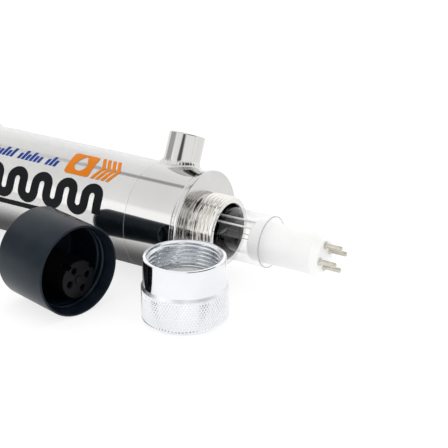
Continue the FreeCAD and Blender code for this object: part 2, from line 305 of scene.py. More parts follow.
def lathe_mesh(outline, turns=192, form=None, at=(0.0, 0.0), sharp=32.0, name="lathe"):
    """Closed outline turned about Z; form(r, z, angle) may move each point."""
    verts, faces = [], []
    count = len(outline)
    for turn in range(turns):
        angle = TURN * turn / turns
        for r, z in outline:
            if form:
                r, z = form(r, z, angle)
            x, y = r * math.cos(angle) + at[0], r * math.sin(angle) + at[1]
            verts.append((x * MM, y * MM, z * MM))
        after = (turn + 1) % turns
        for index in range(count):
            ahead = (index + 1) % count
            faces.append((turn * count + index, after * count + index,
                          after * count + ahead, turn * count + ahead))
    mesh = bpy.data.meshes.new(name)
    mesh.from_pydata(verts, [], faces)
    work = bmesh.new()
    work.from_mesh(mesh)
    bmesh.ops.remove_doubles(work, verts=work.verts, dist=1e-8)
    bmesh.ops.recalc_face_normals(work, faces=work.faces)
    work.to_mesh(mesh)
    work.free()
    soften(mesh, sharp)
    return mesh


def lathe(name, outline, place, **options):
    return link(name, lathe_mesh(outline, name=name, **options), place)


def merged(name, meshes, place, sharp=32.0):
    """One piece from several meshes that share a place."""
    work = bmesh.new()
    for mesh in meshes:
        work.from_mesh(mesh)
    mesh = bpy.data.meshes.new(name)
    work.to_mesh(mesh)
    work.free()
    soften(mesh, sharp)
    return link(name, mesh, place)


def carve(piece, cutters, sharp=32.0):
    """Takes the cutters out of a piece and deletes them."""
    for cutter in cutters:
        modifier = piece.modifiers.new("cut", "BOOLEAN")
        modifier.operation = "DIFFERENCE"
        modifier.solver = "EXACT"
        modifier.object = cutter
    bpy.context.view_layer.update()
    whole = piece.evaluated_get(bpy.context.evaluated_depsgraph_get())
    mesh = bpy.data.meshes.new_from_object(whole)
    piece.modifiers.clear()
    piece.data = mesh
    for cutter in cutters:
        bpy.data.objects.remove(cutter)
    soften(mesh, sharp)
    return piece


def true_round(mesh):
    """Exact cylinder normals on the round faces, so that reflections stay straight."""
    normals = [None] * len(mesh.loops)
    for face in mesh.polygons:
        for loop in face.loop_indices:
            place = mesh.vertices[mesh.loops[loop].vertex_index].co
            radial = Vector((place.x, place.y, 0)).normalized()
            lean = face.normal.dot(radial)
            normals[loop] = radial * math.copysign(1, lean) if abs(lean) > 0.9 else face.normal
    mesh.normals_split_custom_set(normals)


def sheet_mesh(name, outline, holes, thickness, fold, slice_step, edge=0.0):
    """Sheet cut to an outline in (s, t), sliced along s and folded; fold(s, t, n) gives millimetres."""
    work = bmesh.new()
    for loop in (outline, *holes):
        corners = [work.verts.new((s, t, 0)) for s, t in loop]
        for here, there in zip(corners, corners[1:] + corners[:1]):
            work.edges.new((here, there))
    bmesh.ops.triangle_fill(work, use_beauty=True, use_dissolve=False, edges=work.edges[:])
    grown = bmesh.ops.extrude_face_region(work, geom=work.faces[:])
    for item in grown["geom"]:
        if isinstance(item, bmesh.types.BMVert):
            item.co.z = thickness
    bmesh.ops.recalc_face_normals(work, faces=work.faces)
    if edge:
        rims = [e for e in work.edges if e.calc_face_angle(0) > 1.2]
        bmesh.ops.bevel(work, geom=rims, offset=edge, segments=2, profile=0.5, affect="EDGES")
    low = min(s for s, t in outline)
    high = max(s for s, t in outline)
    count = math.ceil((high - low) / slice_step)
    for index in range(1, count):
        level = low + (high - low) * index / count
        everything = work.verts[:] + work.edges[:] + work.faces[:]
        bmesh.ops.bisect_plane(work, geom=everything, plane_co=(level, 0, 0), plane_no=(1, 0, 0))
    for vert in work.verts:
        vert.co = Vector(fold(*vert.co)) * MM
    bmesh.ops.recalc_face_normals(work, faces=work.faces)
    mesh = bpy.data.meshes.new(name)
    work.to_mesh(mesh)
    work.free()
    soften(mesh)
    return mesh


def circle(radius, at=(0.0, 0.0), count=32):
    return [(at[0] + radius * math.cos(TURN * k / count), at[1] + radius * math.sin(TURN * k / count))
            for k in range(count)]


def wire_mesh(name, points, radius):
    """Round wire along points given in millimetres."""
    curve = bpy.data.curves.new(name, "CURVE")
    curve.dimensions = "3D"
    curve.bevel_depth = radius * MM
    curve.bevel_resolution = 3
    curve.use_fill_caps = True
    spline = curve.splines.new("POLY")
    spline.points.add(len(points) - 1)
    for target, point in zip(spline.points, points):
        target.co = (*(Vector(point) * MM), 1)
    guide = bpy.data.objects.new(name, curve)
    mesh = bpy.data.meshes.new_from_object(guide)
    bpy.data.objects.remove(guide)
    return mesh


# ---- materials ------------------------------------------------------------------------
def surface(name, colour, second, rough, blotch=60.0, grain=1500.0, relief=0.0, stretch=(1, 1, 1), **sockets):
    """Principled material whose colour, gloss and fine relief drift with noise."""
    material = bpy.data.materials.new(name)
    material.use_nodes = True
    nodes, links = material.node_tree.nodes, material.node_tree.links
    shader = nodes["Principled BSDF"]
    place = nodes.new("ShaderNodeTexCoord")
    scale = nodes.new("ShaderNodeMapping")
    scale.inputs["Scale"].default_value = stretch
    links.new(place.outputs["Object"], scale.inputs["Vector"])

    def noise(size, detail):
        texture = nodes.new("ShaderNodeTexNoise")
        texture.inputs["Scale"].default_value = size
        texture.inputs["Detail"].default_value = detail
        links.new(scale.outputs["Vector"], texture.inputs["Vector"])
        return texture.outputs["Fac"]

    patches = noise(blotch, 4.0)
    fine = noise(grain, 3.0)
    ramp = nodes.new("ShaderNodeValToRGB")
    ramp.color_ramp.elements[0].position = 0.35
    ramp.color_ramp.elements[0].color = (*colour, 1)
    ramp.color_ramp.elements[1].position = 0.65
    ramp.color_ramp.elements[1].color = (*second, 1)
    links.new(patches, ramp.inputs["Fac"])
    links.new(ramp.outputs["Color"], shader.inputs["Base Color"])
    links.new(remap(nodes, links, fine, 0.3, 0.7, *rough, smooth=False), shader.inputs["Roughness"])
    if relief:
        bump = nodes.new("ShaderNodeBump")
        bump.inputs["Strength"].default_value = 1.0
        bump.inputs["Distance"].default_value = relief * MM
        links.new(fine, bump.inputs["Height"])
        links.new(bump.outputs["Normal"], shader.inputs["Normal"])
    for socket, value in sockets.items():
        shader.inputs[socket.replace("_", " ")].default_value = value
    return material


def remap(nodes, links, value, start, end, low, high, smooth=True):
    """Output that runs from low to high while value runs from start to end."""
    node = nodes.new("ShaderNodeMapRange")
    if smooth:
        node.interpolation_type = "SMOOTHSTEP"
    links.new(value, node.inputs["Value"])
    for socket, number in (("From Min", start), ("From Max", end), ("To Min", low), ("To Max", high)):
        node.inputs[socket].default_value = number
    return node.outputs["Result"]


def clear_wall(name, tint, clearest, thickest, rough):
    """Thin clear wall: sight passes straight through it, and it turns to a mirror at its edges."""
    material = bpy.data.materials.new(name)
    material.use_nodes = True
    nodes, links = material.node_tree.nodes, material.node_tree.links
    shader = nodes["Principled BSDF"]
    shader.inputs["Base Color"].default_value = (*tint, 1)
    shader.inputs["Metallic"].default_value = 1.0
    shader.inputs["Roughness"].default_value = rough
    edge = nodes.new("ShaderNodeLayerWeight")
    edge.inputs["Blend"].default_value = 0.5
    sharp = nodes.new("ShaderNodeMath")
    sharp.operation = "POWER"
    sharp.inputs[1].default_value = 2.5
    links.new(edge.outputs["Facing"], sharp.inputs[0])
    cover = remap(nodes, links, sharp.outputs["Value"], 0.0, 1.0, clearest, thickest, smooth=False)
    links.new(cover, shader.inputs["Alpha"])
    return material


materials = {}


def paint(name, *looks, **options):
    """Keeps an opaque material under its name."""
    materials[name] = surface(name, *looks, **options)


def glaze(name, *looks):
    """Keeps a clear material under its name."""
    materials[name] = clear_wall(name, *looks)


def make_materials():
    metal = {"Metallic": 1.0}
    ink = {"Specular_IOR_Level": 0.12}
    paint("polished_stainless", (0.59, 0.585, 0.575), (0.64, 0.635, 0.625), (0.05, 0.09), blotch=25.0,
          grain=90.0, relief=0.012, **metal)
    paint("flange_stainless", (0.59, 0.585, 0.58), (0.64, 0.635, 0.63), (0.06, 0.12), blotch=60.0,
          grain=500.0, relief=0.004, **metal)
    paint("machined_stainless", (0.76, 0.745, 0.71), (0.84, 0.83, 0.80), (0.06, 0.13), grain=60.0,
          relief=0.003, stretch=(1, 1, 40), **metal)
    # Dark bluish steel for the chamber's inside and the neck bores is painted shade: the inside is polished
    # steel, darkened for the shade in the closed chamber.
    paint("bore_steel_painted_shade", (0.06, 0.075, 0.12), (0.09, 0.105, 0.16), (0.25, 0.4), grain=300.0,
          relief=0.006, **metal)
    paint("mouth_stainless", (0.80, 0.80, 0.81), (0.86, 0.86, 0.87), (0.45, 0.6), grain=300.0, **metal)
    paint("weld_bead", (0.60, 0.595, 0.58), (0.68, 0.67, 0.655), (0.14, 0.24), blotch=200.0, grain=400.0,
          relief=0.02, **metal)
    glaze("label_film", (0.95, 0.95, 0.96), 0.035, 0.5, 0.09)
    # Pale strip for the film's cut edge: a painted highlight.
    paint("film_edge_painted_highlight", (0.80, 0.80, 0.82), (0.88, 0.88, 0.90), (0.3, 0.4), Alpha=0.2)
    paint("strap_steel", (0.66, 0.66, 0.65), (0.74, 0.74, 0.73), (0.22, 0.38), grain=120.0, relief=0.004,
          stretch=(1, 12, 12), **metal)
    paint("liner_rubber", (0.018, 0.018, 0.019), (0.03, 0.03, 0.031), (0.55, 0.75), grain=2500.0,
          relief=0.03)
    paint("silicone_seal", (0.78, 0.77, 0.73), (0.84, 0.83, 0.80), (0.3, 0.45), relief=0.01,
          Subsurface_Weight=0.15)
    glaze("quartz", (0.76, 0.77, 0.78), 0.03, 0.65, 0.02)
    glaze("quartz_inside", (0.92, 0.925, 0.93), 0.0, 0.2, 0.02)
    # Grey, nearly opaque rings at the sleeve's ends are painted shade.
    paint("sleeve_rim_painted_shade", (0.40, 0.41, 0.42), (0.48, 0.49, 0.50), (0.4, 0.5), Alpha=0.8)
    glaze("lamp_glass", (0.82, 0.83, 0.84), 0.04, 0.7, 0.03)
    paint("ceramic", (0.88, 0.88, 0.875), (0.92, 0.92, 0.915), (0.28, 0.42), blotch=90.0, grain=1800.0,
          relief=0.006)
    paint("pin_metal", (0.56, 0.53, 0.46), (0.66, 0.63, 0.56), (0.16, 0.3), blotch=400.0, grain=1500.0,
          relief=0.004, **metal)
    paint("electrode_metal", (0.20, 0.20, 0.21), (0.30, 0.30, 0.31), (0.3, 0.5), **metal)
    paint("wire_insulation", (0.82, 0.82, 0.81), (0.88, 0.88, 0.87), (0.35, 0.5))
    paint("nylon", (0.78, 0.77, 0.72), (0.83, 0.82, 0.78), (0.35, 0.5), relief=0.006)
    paint("nut_aluminium", (0.80, 0.81, 0.83), (0.86, 0.87, 0.89), (0.07, 0.10), blotch=40.0, grain=200.0,
          **metal)
    paint("satin_aluminium", (0.92, 0.93, 0.95), (0.95, 0.96, 0.98), (0.35, 0.45), grain=300.0, **metal)
    paint("turned_aluminium", (0.78, 0.80, 0.83), (0.86, 0.88, 0.91), (0.2, 0.3), blotch=80.0, grain=300.0,
          **metal)
    paint("cap_rubber", (0.003, 0.006, 0.011), (0.006, 0.011, 0.017), (0.28, 0.40), blotch=160.0,
          grain=2200.0, relief=0.02, Specular_IOR_Level=0.28, Specular_Tint=(0.72, 0.88, 1.0, 1.0))
    paint("bush_rubber", (0.014, 0.014, 0.015), (0.024, 0.024, 0.025), (0.5, 0.7), grain=2200.0,
          relief=0.02)
    paint("socket_plastic", (0.003, 0.003, 0.005), (0.006, 0.006, 0.008), (0.35, 0.55), grain=2400.0,
          relief=0.012, Specular_IOR_Level=0.16)
    paint("contact_brass", (0.40, 0.31, 0.16), (0.50, 0.40, 0.22), (0.25, 0.4), **metal)
    paint("ink_black", (0.004, 0.005, 0.007), (0.007, 0.008, 0.011), (0.35, 0.5), **ink)
    paint("ink_blue", (0.008, 0.045, 0.26), (0.012, 0.055, 0.32), (0.35, 0.5), **ink)
    paint("ink_orange", (0.68, 0.19, 0.006), (0.76, 0.225, 0.012), (0.35, 0.5), **ink)
    paint("floor", (0.30, 0.30, 0.30), (0.32, 0.32, 0.32), (0.8, 0.9), blotch=3.0, Specular_IOR_Level=0.0,
          Emission_Color=(1, 1, 1, 1), Emission_Strength=0.76)


make_materials()


def refinish(piece, material, chosen):
    """Gives a turned piece's faces another material where chosen(r, z), in millimetres, holds."""
    piece.data.materials.append(materials[material])
    index = len(piece.data.materials) - 1
    for face in piece.data.polygons:
        if chosen(math.hypot(face.center.x, face.center.y) / MM, face.center.z / MM):
            face.material_index = index


def finish_piece(piece, body, slot, nodes=(), material=None):
    piece.data.materials.clear()
    piece.data.materials.append(materials[material or slot])
    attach(piece, body)
    if nodes:
        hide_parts(*nodes)
    return piece


# ---- chamber --------------------------------------------------------------------------
def saddle(radius, r, angle):
    """Height above the chamber axis of a cylinder's surface under a side port's wall."""
    return math.sqrt(radius ** 2 - (r * math.sin(angle)) ** 2)


def make_chamber_tube():
    inner = chamber_r - chamber_wall
    start = rear_face + flange_thickness * MM
    length = (front_face - start) / MM - flange_thickness
    outline = divided([(inner, 0), (chamber_r, 0), (chamber_r, length), (inner, length)], 12.0, 0, length)
    shell = lathe("chamber_shell", outline, front(start), turns=256)
    cutters = []
    for name in ("outlet_port", "inlet_port"):
        hole = [(0, inner / 2), (port_crest_r, inner / 2),
                (port_crest_r, chamber_r * 1.3), (0, chamber_r * 1.3)]
        cutters.append(lathe("drill", hole, on_port(name), turns=64))
    carve(shell, cutters)
    true_round(shell.data)
    finish_piece(shell, "chamber", "polished_stainless", ["chamber_tube"])
    # The chamber's inside faces get the dark steel of painted shade.
    refinish(shell, "bore_steel_painted_shade", lambda r, z: r < inner + 0.1)


def make_ports():
    foot = chamber_r / 3
    thread_start = port_reach - port_thread_length
    thread_end = port_reach - 0.9

    def stub(r, z, angle):
        if z <= foot:
            return r, saddle(chamber_r - 0.4, r, angle)
        if r <= port_crest_r + 0.01:
            height = thread_height(z, angle, port_thread_pitch, thread_start, thread_end)
            return r + port_thread_depth * height, z
        return r, z

    corners = [(port_crest_r, foot), (port_r, foot), (port_r, port_reach, 0.7),
               (port_crest_r + 0.9, port_reach, 0.2), (port_crest_r, thread_end),
               (port_crest_r, thread_start)]
    outline = divided(rounded(corners), port_thread_pitch / 10, thread_start, thread_end, most_r=port_crest_r)
    for name in ("outlet_port", "inlet_port"):
        piece = lathe(name + "_stub", outline, on_port(name), turns=160, form=stub)
        finish_piece(piece, "chamber", "polished_stainless", [name])


def make_port_welds():
    steps = 10
    outline = [(port_r, -0.5), (port_r + port_weld, -0.5)]
    for step in range(steps + 1):
        x, y = polar(port_weld, 270 - 90 * step / steps)
        outline.append((port_r + port_weld + x, port_weld + y))

    def seat(r, z, angle):
        ripple = 0.05 * math.sin(angle * 38) * math.sin(clamp(z / port_weld) * math.pi)
        return r + ripple, saddle(chamber_r, r, angle) + z + ripple

    for name in ("outlet_port", "inlet_port"):
        piece = lathe(name + "_weld", outline, on_port(name), turns=240, form=seat)
        finish_piece(piece, "chamber", "weld_bead", ["port_welds"])


def make_ends():
    ends = {"front": front(front_face), "rear": rear(rear_face)}
    disc = rounded([(neck_bore_r, 0), (flange_r, 0, 0.45), (flange_r, -flange_thickness, 0.45),
                    (neck_bore_r, -flange_thickness)])
    weld_width = 2.2
    back = -flange_thickness
    bead = rounded([(chamber_r - 0.1, back), (flange_r - 0.45, back, 0.1),
                    (chamber_r + 0.35, back - weld_width * 0.65, 0.8), (chamber_r - 0.1, back - weld_width)])

    def ripple(r, z, angle):
        return r + 0.03 * math.sin(angle * 90) * (r > chamber_r), z

    root_r = thread_r - thread_depth
    land = neck_length - neck_land
    corners = [(neck_bore_r, 0), (root_r, 0), (root_r, neck_relief), (root_r, land - 0.1),
               (neck_land_r, land + 0.2, 0.1), (neck_land_r, neck_length, 0.35),
               (neck_bore_r, neck_length, 0.45), (neck_bore_r, neck_length - neck_mouth)]
    tube = divided(rounded(corners), thread_pitch / 14, neck_relief, land - 0.1, least_r=root_r - 0.01)

    def thread(r, z, angle):
        if abs(r - root_r) > 0.01 or not neck_relief < z < land:
            return r, z
        return r + thread_depth * thread_height(z, angle, thread_pitch, neck_relief, land + 0.4), z

    for end, place in ends.items():
        face = lathe(end + "_flange_disc", disc, place, turns=256)
        finish_piece(face, "chamber", "polished_stainless", [end + "_end_flange"], "flange_stainless")
        weld = lathe(end + "_weld_ring", bead, place, turns=360, form=ripple)
        finish_piece(weld, "chamber", "weld_bead", ["end_welds"])
        neck = lathe(end + "_neck", tube, place, turns=256, form=thread, sharp=50.0)
        finish_piece(neck, "chamber", "machined_stainless", [end + "_threaded_neck"])
        # The neck's bore gets the dark steel of painted shade, all but a band at its mouth.
        refinish(neck, "bore_steel_painted_shade", lambda r, z: r < neck_bore_r + 0.1)
        refinish(neck, "mouth_stainless", lambda r, z: r < neck_bore_r + 0.1 and z > neck_length - neck_mouth)


# ---- straps ---------------------------------------------------------------------------
def strap_fold(station):
    """Bends a strap lying along s over the chamber; n is its thickness outwards."""
    inner = chamber_r + liner_thickness
    quarter = inner * math.pi / 2
    leg = axis_z / MM - strap_bend
    bend = strap_bend * math.pi / 2

    def fold(s, t, n):
        side = math.copysign(1, s)
        rest = abs(s)
        if rest <= quarter:
            angle = rest / inner
            y, z = math.sin(angle) * (inner + n), axis_z / MM + math.cos(angle) * (inner + n)
        elif rest <= quarter + leg:
            y, z = inner + n, axis_z / MM - (rest - quarter)
        elif rest <= quarter + leg + bend:
            angle = (rest - quarter - leg) / strap_bend
            reach = strap_bend - n
            y = inner + strap_bend - reach * math.cos(angle)
            z = strap_bend - reach * math.sin(angle)
        else:
            y, z = inner + strap_bend + rest - quarter - leg - bend, n
        return station + t, side * y, z

    return fold, quarter + leg + bend + strap_ear_reach - inner - strap_bend


def make_straps():
    hole_r = mounts["strap_holes"]["dims"]["hole_r_mm"]
    hole_y = mounts["strap_holes"]["dims"]["spacing_y_mm"] / 2
    half = strap_width / 2
    for end in ("front", "rear"):
        fold, half_length = strap_fold(middle(end + "_strap").x / MM)
        outline = rounded([(-half_length, -half, 5), (half_length, -half, 5),
                           (half_length, half, 5), (-half_length, half, 5)], steps=8)
        hole_s = half_length - (strap_ear_reach - hole_y)
        holes = [circle(hole_r, (side * hole_s, 0)) for side in (-1, 1)]
        mesh = sheet_mesh(end + "_strap_band", outline, holes, strap_thickness, fold, 1.0, edge=0.22)
        band = link(end + "_strap_band", mesh)
        finish_piece(band, "chamber", "strap_steel", [end + "_strap"])

        station = middle(end + "_strap_liner").x / MM

        def wrap(s, t, n):
            angle = s / chamber_r
            reach = chamber_r + n
            return station + t, math.sin(angle) * reach, axis_z / MM + math.cos(angle) * reach

        arc = chamber_r * math.pi / 2
        wide = liner_width / 2
        strip = [(-arc, -wide), (arc, -wide), (arc, wide), (-arc, wide)]
        mesh = sheet_mesh(end + "_liner_band", strip, [], liner_thickness, wrap, 1.2, edge=0.3)
        liner = link(end + "_liner_band", mesh)
        finish_piece(liner, "chamber", "liner_rubber", [end + "_strap_liner"])


# ---- label ----------------------------------------------------------------------------
def wrapped(offset):
    """Folds (height up the near side, station along X) onto the chamber."""
    def fold(s, t, n):
        angle = s / chamber_r
        reach = chamber_r + offset + n
        return t, -math.cos(angle) * reach, axis_z / MM + math.sin(angle) * reach
    return fold


def arc_at(degrees):
    """Distance round the chamber, in millimetres, from its near side."""
    return chamber_r * math.radians(degrees)


def print_mark(name, shapes, ink):
    """Marks printed on the film; each shape is (outline, holes) in (s, t)."""
    meshes = []
    for outline, holes in shapes:
        meshes.append(sheet_mesh(name, outline, holes, 0.03, wrapped(0.1), 0.8))
    piece = merged(name, meshes, Matrix.Identity(4))
    finish_piece(piece, "chamber", "label_film", material=ink)


def make_label():
    low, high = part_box("label_film")
    x0, x1 = low.x / MM, high.x / MM
    bottom, top = arc_at(-180 + label_gap / 2), arc_at(180 - label_gap / 2)
    outline = rounded([(bottom, x0, 1.5), (top, x0, 1.5), (top, x1, 1.5), (bottom, x1, 1.5)], steps=6)
    mesh = sheet_mesh("label_skin", outline, [], 0.09, wrapped(0.005), 0.8)
    skin = link("label_skin", mesh)
    notch_r = port_r + port_weld + 0.4
    notch = [(0, 0), (notch_r, 0), (notch_r, chamber_r * 2), (0, chamber_r * 2)]
    carve(skin, [lathe("notch", notch, on_port("outlet_port"), turns=96)])
    finish_piece(skin, "chamber", "label_film", ["label_film"])

    # A pale strip along the film's cut front edge is a painted highlight, standing in for the fine line of
    # light that the edge catches.
    lip = [(arc_at(-60), x1 - 0.3), (arc_at(68), x1 - 0.3), (arc_at(68), x1 - 0.1), (arc_at(-60), x1 - 0.1)]
    print_mark("film_edge", [(lip, [])], "film_edge_painted_highlight")

    # A bold black winding line over a rule, from the film's rear end forwards.
    stroke, bend_r, leg, bends = 4.6, 3.7, 4.4, 9
    middle_s = arc_at(24.5)
    wave_start = x1 - 14.0 - stroke / 2 - 2 * bend_r * bends
    turns = [math.pi * step / 20 for step in range(21)]
    waves = []
    for index in range(bends + 1):
        station = wave_start + 2 * bend_r * index
        tail = bend_r if index in (0, bends) else 0.0
        low, high = middle_s - leg / 2 - tail, middle_s + leg / 2
        waves.append(([(low, station - stroke / 2), (high, station - stroke / 2),
                       (high, station + stroke / 2), (low, station + stroke / 2)], []))
        if index < bends:
            way = 1 if index % 2 == 0 else -1
            ring = []
            for radius, angles in ((bend_r + stroke / 2, turns), (bend_r - stroke / 2, turns[::-1])):
                ring += [(middle_s + way * (leg / 2 + radius * math.sin(turn)),
                          station + bend_r - radius * math.cos(turn)) for turn in angles]
            waves.append((ring, []))
    rule_end = x1 - 48.0
    rule = [(arc_at(-1.0), x0 + 6.0), (arc_at(4.5), x0 + 6.0),
            (arc_at(4.5), rule_end), (arc_at(-1.0), rule_end - 1.5)]
    print_mark("print_waves", waves + [(rule, [])], "ink_black")

    # A row of short slanted blue dashes above the waves.
    dashes = []
    dash_height, dash_width, dash_step, lean = 5.4, 1.6, 2.4, 1.5
    station = x0 + 8.0
    index = 0
    while station + dash_width + lean < x1 - 43.5:
        share = 1.0 if index % 5 in (0, 3) else 0.66
        foot = arc_at(51.5)
        head = foot + dash_height * share
        slope = lean * share
        if index % 7 != 6:
            dashes.append(([(foot, station), (foot, station + dash_width),
                            (head, station + dash_width + slope), (head, station + slope)], []))
        station += dash_step
        index += 1
    print_mark("print_dashes", dashes, "ink_blue")

    # An orange block with a plain drop cut out, and arrows that point along the flow.
    block_start, block_end = x1 - 40.4, x1 - 26.0
    block_low, block_high = arc_at(47.7), arc_at(77.0)
    block = rounded([(block_low, block_start, 1.6), (block_high, block_start, 1.6),
                     (block_high, block_end, 1.6), (block_low, block_end, 1.6)], steps=6)
    centre_s, centre_t = (block_low + block_high) / 2 - 0.8, (block_start + block_end) / 2
    drop = []
    drop_r = 3.3
    for step in range(40):
        angle = TURN * step / 40
        stretch = 1.0 + 0.75 * max(0.0, math.cos(angle)) ** 6
        drop.append((centre_s + drop_r * stretch * math.cos(angle), centre_t + drop_r * math.sin(angle)))
    marks = [(block, [drop])]
    middle_s, reach, arm, bar = (block_low + block_high) / 2, 3.4, (block_high - block_low) / 2, 1.9
    for index in range(4):
        back = block_end + 1.2 + 2.9 * index
        arrow = [(middle_s, back + reach), (middle_s + arm, back), (middle_s + arm, back + bar),
                 (middle_s, back + bar + reach), (middle_s - arm, back + bar), (middle_s - arm, back)]
        marks.append((arrow, []))
    print_mark("print_block", marks, "ink_orange")


# ---- sleeve and lamp --------------------------------------------------------------------
def make_sleeve():
    """Clear tube with a grey ring round its outer edge at both ends, painted shade for the dark line that the
    ends of the glass wall show.
    """
    length = extent("quartz_sleeve").x
    place = front(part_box("quartz_sleeve")[0].x)
    rim_step = 0.45
    rim_r = sleeve_r - rim_step
    corners = [(sleeve_bore_r, 0), (rim_r, 0), (rim_r, rim_step), (sleeve_r, rim_step),
               (sleeve_r, length - rim_step), (rim_r, length - rim_step), (rim_r, length),
               (sleeve_bore_r, length)]
    piece = lathe("sleeve_glass", divided(corners, 20.0, 0, length), place, turns=192)
    finish_piece(piece, "sleeve", "quartz", ["quartz_sleeve"])
    refinish(piece, "quartz_inside", lambda r, z: r < sleeve_bore_r + 0.1)
    # The rings at both ends are grey: painted shade.
    for name, end, way in (("near", length, -1), ("far", 0, 1)):
        rim = rounded([(rim_r, end), (sleeve_r, end, 0.25), (sleeve_r, end + way * rim_step),
                       (rim_r, end + way * rim_step)], steps=4)
        piece = lathe("sleeve_rim_" + name, rim, place, turns=192)
        finish_piece(piece, "sleeve", "quartz", material="sleeve_rim_painted_shade")


def make_lamp():
    drop = axis_z / MM - middle("lamp_base").z / MM
    place = front(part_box("lamp_base")[1].x, drop)
    tail = -extent("lamp_base").x - (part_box("lamp_base")[0].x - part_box("lamp_end_cap")[0].x) / MM
    recess = 12.0
    body = rounded([(0, 0), (0, -base_length + recess), (lamp_r + 0.05, -base_length + recess),
                    (lamp_r + 0.05, -base_length, 0.3), (base_r, -base_length, 1.0),
                    (base_r, -base_nose, 0.7), (base_nose_r, 0, 0.5)])
    piece = lathe("lamp_base_body", body, place, turns=160)
    finish_piece(piece, "lamp", "ceramic", ["lamp_base"])

    pin = rounded([(0, 0), (1.75, 0), (1.75, 0.55, 0.25), (pin_r + 0.12, 0.75, 0.15), (pin_r, 1.3),
                   (pin_r, pin_length, 0.95), (0, pin_length)], steps=6)
    meshes = [lathe_mesh(pin, turns=40, at=centre) for centre in pin_grid(pin_turn)]
    piece = merged("lamp_pin_set", meshes, place)
    finish_piece(piece, "lamp", "pin_metal", ["lamp_pins"])

    low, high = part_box("lamp_tube")
    start = (low.x - place.translation.x) / MM
    end = (high.x - place.translation.x) / MM
    glass = rounded([(0, start), (lamp_r, start, 2.5), (lamp_r, end, 2.5), (0, end)])
    piece = lathe("lamp_envelope", glass, place, turns=128)
    finish_piece(piece, "lamp", "lamp_glass", ["lamp_tube"])

    cup_length = extent("lamp_end_cap").x
    cup_r = extent("lamp_end_cap").y / 2
    cup = rounded([(0, tail, 0), (cup_r, tail, 1.0), (cup_r, tail + cup_length, 0.5),
                   (lamp_r + 0.05, tail + cup_length, 0.2), (lamp_r + 0.05, tail + 1.0), (0, tail + 1.0)])
    piece = lathe("lamp_end_cup", cup, place, turns=128)
    finish_piece(piece, "lamp", "ceramic", ["lamp_end_cap"])

    make_electrodes(place, start, end)

    wire_r = 0.45
    meshes = []
    for turn in return_wire_turns:
        x, y = polar(lamp_r + wire_r, turn)
        meshes.append(wire_mesh("wire", [(x, y, tail + cup_length - 1), (x, y, -base_length + 1)], wire_r))
    piece = merged("return_wires", meshes, place)
    finish_piece(piece, "lamp", "wire_insulation", ["lamp_return_wires"])


def make_electrodes(place, start, end):
    reach, half_span, coil_r, turns = 30.0, 3.2, 0.75, 9
    meshes = []
    for root, way in ((end - lamp_wall, -1), (start + lamp_wall, 1)):
        level = root + way * reach
        coil = []
        for step in range(turns * 14 + 1):
            share = step / (turns * 14)
            x, y = polar(coil_r, 360 * turns * share)
            coil.append((-half_span + 2 * half_span * share, x, level + y))
        meshes.append(wire_mesh("coil", coil, 0.14))
        for side in (-1, 1):
            lead = [(side * half_span, coil_r, level), (side * half_span, 0.4, level - way * 1.2),
                    (side * half_span * 0.6, 0, level - way * reach * 0.6), (side * half_span * 0.6, 0, root)]
            meshes.append(wire_mesh("lead", lead, 0.14))
    piece = merged("electrode_set", meshes, place)
    finish_piece(piece, "lamp", "electrode_metal", ["lamp_electrodes"])


# ---- gland nuts and seals ----------------------------------------------------------------
def nut_shape(crest_r):
    """Outline and form of a knurled gland nut from its threaded mouth."""
    root_r = crest_r + thread_depth
    thread_start, thread_end = 0.9, nut_seat - 4.9
    knurl_start = nut_smooth + 1.2
    knurl_end = nut_length - nut_foot
    corners = [(root_r + 0.25, 0, 0.4), (nut_r, 0, 0.85), (nut_r, nut_smooth, 0.3),
               (knurl_r, knurl_start, 0.12), (knurl_r, knurl_end, 0.2),
               (knurl_r - nut_foot, nut_length, 0.35),
               (nut_cavity_r, nut_length, 0.5), (nut_cavity_r, nut_shoulder, 0.3),
               (nut_shoulder_r, nut_shoulder, 0.25), (nut_shoulder_r, nut_seat, 0.25),
               (crest_r, nut_seat, 0.2), (crest_r, thread_end), (crest_r, thread_start)]
    outline = divided(rounded(corners, steps=3), thread_pitch / 10, thread_start, thread_end,
                      most_r=crest_r + 0.01)
    outline = divided(outline, knurl_rise / 6, knurl_start, knurl_end, least_r=knurl_r - 0.01)

    def form(r, z, angle):
        if r >= knurl_r - 0.01 and knurl_start < z < knurl_end:
            return r - knurl_depth * (1 - knurl_height(z, angle, knurl_start, knurl_end)), z
        if abs(r - crest_r) < 0.01 and z < thread_end:
            return r + thread_depth * thread_height(z, angle, thread_pitch, 0.0, thread_end), z
        return r, z

    return outline, form


def make_nuts():
    play = 0.05
    rear_mouth = rear(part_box("rear_gland_nut")[1].x)
    sets = (("gland_nut", on_loose_nut(), "loose_nut", nut_crest_r),
            ("rear_gland_nut", rear_mouth, "rear_nut", thread_r + play))
    for node, place, body, crest_r in sets:
        outline, form = nut_shape(crest_r)
        piece = lathe(node + "_turned", outline, place, turns=knurl_count * 6, form=form, sharp=28.0)
        finish_piece(piece, body, "nut_aluminium", [node])
        refinish(piece, "turned_aluminium", lambda r, z: r < nut_r - 1.2)
        refinish(piece, "satin_aluminium", lambda r, z: r > nut_r and nut_smooth < z < nut_smooth + 1.1)


def ring_box(node):
    """Place, half height and outer radius of a ring that lies flat or stands across the chamber."""
    size = extent(node)
    flat = size.z < size.x
    place = Matrix.Translation(middle(node)) if flat else front(middle(node).x)
    return place, min(size.x, size.z) / 2, max(size.x, size.z) / 2


